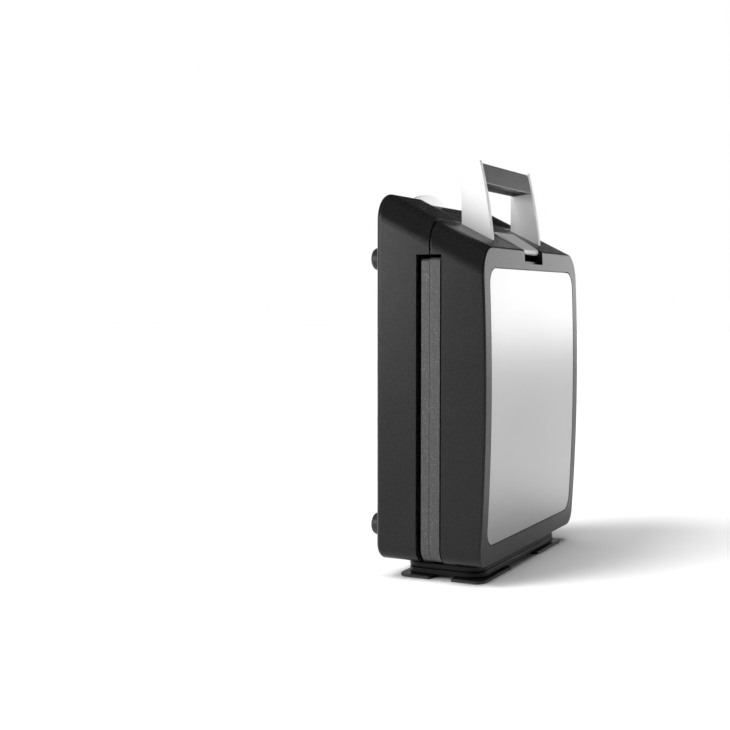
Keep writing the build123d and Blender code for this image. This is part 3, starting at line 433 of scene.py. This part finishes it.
SHARP_ANGLE = 35  # degrees; a steeper edge stays sharp


def soften(o):
    """Smooth shading on curved faces, with real edges left sharp."""
    for polygon in o.data.polygons:
        polygon.use_smooth = True
    o.data.set_sharp_from_angle(angle=math.radians(SHARP_ANGLE))


for each in node.values():
    soften(each)


# ---------------------------------------------------------------- floor and light

FLOOR_HALF = 9.0  # half of the floor's side

# The wall that lights the object: (direction's Z, grey) below and above its top edge, and how
# its strength runs from one X to another.
WALL_HEIGHT = ((0.10, 1.0), (0.22, 0.01))
WALL_SIDES = {"From Min": -0.7, "From Max": 0.8, "To Min": 0.10, "To Max": 2.6}


def make_floor():
    mesh = bpy.data.meshes.new("floor")
    r = FLOOR_HALF
    mesh.from_pydata([(-r, -r, 0), (r, -r, 0), (r, r, 0), (-r, r, 0)], [], [(0, 1, 2, 3)])
    s = Shader("floor_paper", specular=0.2)
    s.colour(s.ramp(s.noise(2.0, detail=2.0), (0.3, 0.90), (0.7, 0.92)))
    s.bsdf.inputs["Roughness"].default_value = 0.9
    mesh.materials.append(s.material)
    floor = bpy.data.objects.new("floor", mesh)
    bpy.context.scene.collection.objects.link(floor)


def sun_light(name, towards, spread, strength):
    data = bpy.data.lights.new(name, "SUN")
    data.angle = math.radians(spread)
    data.energy = strength
    light = bpy.data.objects.new(name, data)
    light.visible_glossy = False
    light.rotation_euler = Vector(towards).to_track_quat("-Z", "Y").to_euler()
    bpy.context.scene.collection.objects.link(light)


def area_light(name, place, target, size, watts):
    data = bpy.data.lights.new(name, "AREA")
    data.shape = "SQUARE"
    data.size = size
    data.energy = watts
    light = bpy.data.objects.new(name, data)
    light.location = place
    light.rotation_euler = (Vector(target) - Vector(place)).to_track_quat("-Z", "Y").to_euler()
    bpy.context.scene.collection.objects.link(light)


def make_world():
    """White surround behind the object; what lights it is a white wall round a dark ceiling."""
    world = bpy.data.worlds.new("studio")
    bpy.context.scene.world = world
    world.use_nodes = True
    nodes, links = world.node_tree.nodes, world.node_tree.links
    seen = nodes["Background"]
    seen.inputs["Color"].default_value = (1.0, 1.0, 1.0, 1.0)
    seen.inputs["Strength"].default_value = 1.0
    split = nodes.new("ShaderNodeSeparateXYZ")
    links.new(nodes.new("ShaderNodeTexCoord").outputs["Generated"], split.inputs["Vector"])
    height = nodes.new("ShaderNodeValToRGB")
    for element, (place, grey) in zip(height.color_ramp.elements, WALL_HEIGHT):
        element.position = place
        element.color = (grey, grey, grey, 1.0)
    links.new(split.outputs["Z"], height.inputs["Fac"])
    side = nodes.new("ShaderNodeMapRange")
    for name, value in WALL_SIDES.items():
        side.inputs[name].default_value = value
    links.new(split.outputs["X"], side.inputs["Value"])
    wall = nodes.new("ShaderNodeBackground")
    links.new(height.outputs["Color"], wall.inputs["Color"])
    links.new(side.outputs["Result"], wall.inputs["Strength"])
    path = nodes.new("ShaderNodeLightPath")
    mix = nodes.new("ShaderNodeMixShader")
    links.new(path.outputs["Is Camera Ray"], mix.inputs["Fac"])
    links.new(wall.outputs["Background"], mix.inputs[1])
    links.new(seen.outputs["Background"], mix.inputs[2])
    links.new(mix.outputs["Shader"], nodes["World Output"].inputs["Surface"])


make_floor()
make_world()
sun_light("key", (0.50, -0.40, -0.75), spread=30, strength=2.6)
sun_light("overhead", (0.1, 0.0, -1.0), spread=50, strength=2.0)
area_light("side", (-1.14, 0.86, 0.50), (-0.1, 0.02, 0.25), size=0.7, watts=11)
bpy.context.scene.view_settings.view_transform = "Standard"
